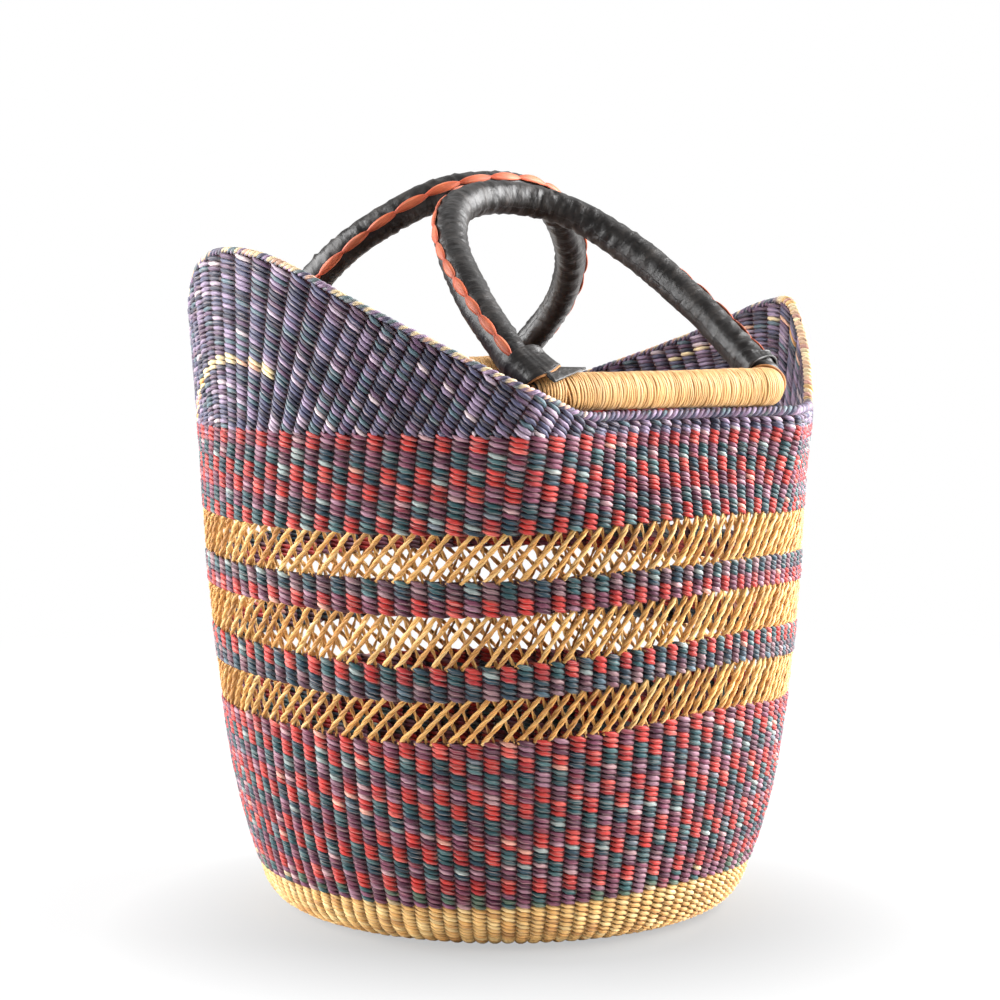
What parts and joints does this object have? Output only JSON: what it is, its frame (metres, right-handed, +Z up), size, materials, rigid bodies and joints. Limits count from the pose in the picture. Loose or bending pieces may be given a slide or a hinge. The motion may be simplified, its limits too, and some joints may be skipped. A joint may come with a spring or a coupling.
{
  "type": "woven tote basket",
  "caption": "Woven grass tote basket with openwork bands, a rim rising to two wings, and two leather-covered carrying handles that swing on the rim.",
  "frame": {"origin": "centre of the underside, on the surface that the basket stands on", "axes": "+Z up; the handle rods lie along X, +X towards the lower wing and -X towards the higher one; -Y towards the near side"},
  "size_m": [0.3963, 0.3729, 0.4592],
  "materials": {
    "natural_straw": "undyed twined grass, satin",
    "patterned_weave": "twined grass dyed in red, plum and teal blocks",
    "wing_weave": "twined grass in slate, mauve and cream flecks",
    "rim_plait": "plaited grass edge in cream and mixed colours",
    "straw_binding": "fine grass wound side by side, glossy yellow",
    "grass_core": "bundle of grass stems",
    "handle_leather": "soft creased charcoal leather",
    "keeper_leather": "charcoal leather with raw edges",
    "lacing_leather": "flat orange-red thong"
  },
  "bodies": {
    "basket": {"woven_base": "natural_straw", "lower_wall": "patterned_weave", "openwork_lower": "natural_straw", "colour_band_lower": "patterned_weave", "openwork_middle": "natural_straw", "colour_band_upper": "patterned_weave", "openwork_upper": "natural_straw", "upper_wall": "patterned_weave", "wing_wall": "wing_weave", "rim_border": "rim_plait", "near_rim_binding": "straw_binding", "far_rim_binding": "straw_binding"},
    "near_handle": {"near_handle_core": "grass_core", "near_handle_leather": "handle_leather", "near_handle_lacing": "lacing_leather", "near_handle_right_keeper": "keeper_leather", "near_handle_left_keeper": "keeper_leather"},
    "far_handle": {"far_handle_core": "grass_core", "far_handle_leather": "handle_leather", "far_handle_lacing": "lacing_leather", "far_handle_right_keeper": "keeper_leather", "far_handle_left_keeper": "keeper_leather"}
  },
  "joints": [
    {"name": "near_handle_swing", "type": "hinge", "parent": "basket", "child": "near_handle", "pos_m": [-0.002, -0.165, 0.32534], "axis": [1, 0, 0], "range_deg": [0, 75]},
    {"name": "far_handle_swing", "type": "hinge", "parent": "basket", "child": "far_handle", "pos_m": [0.017, 0.165, 0.32534], "axis": [-1, 0, 0], "range_deg": [0, 90]}
  ]
}
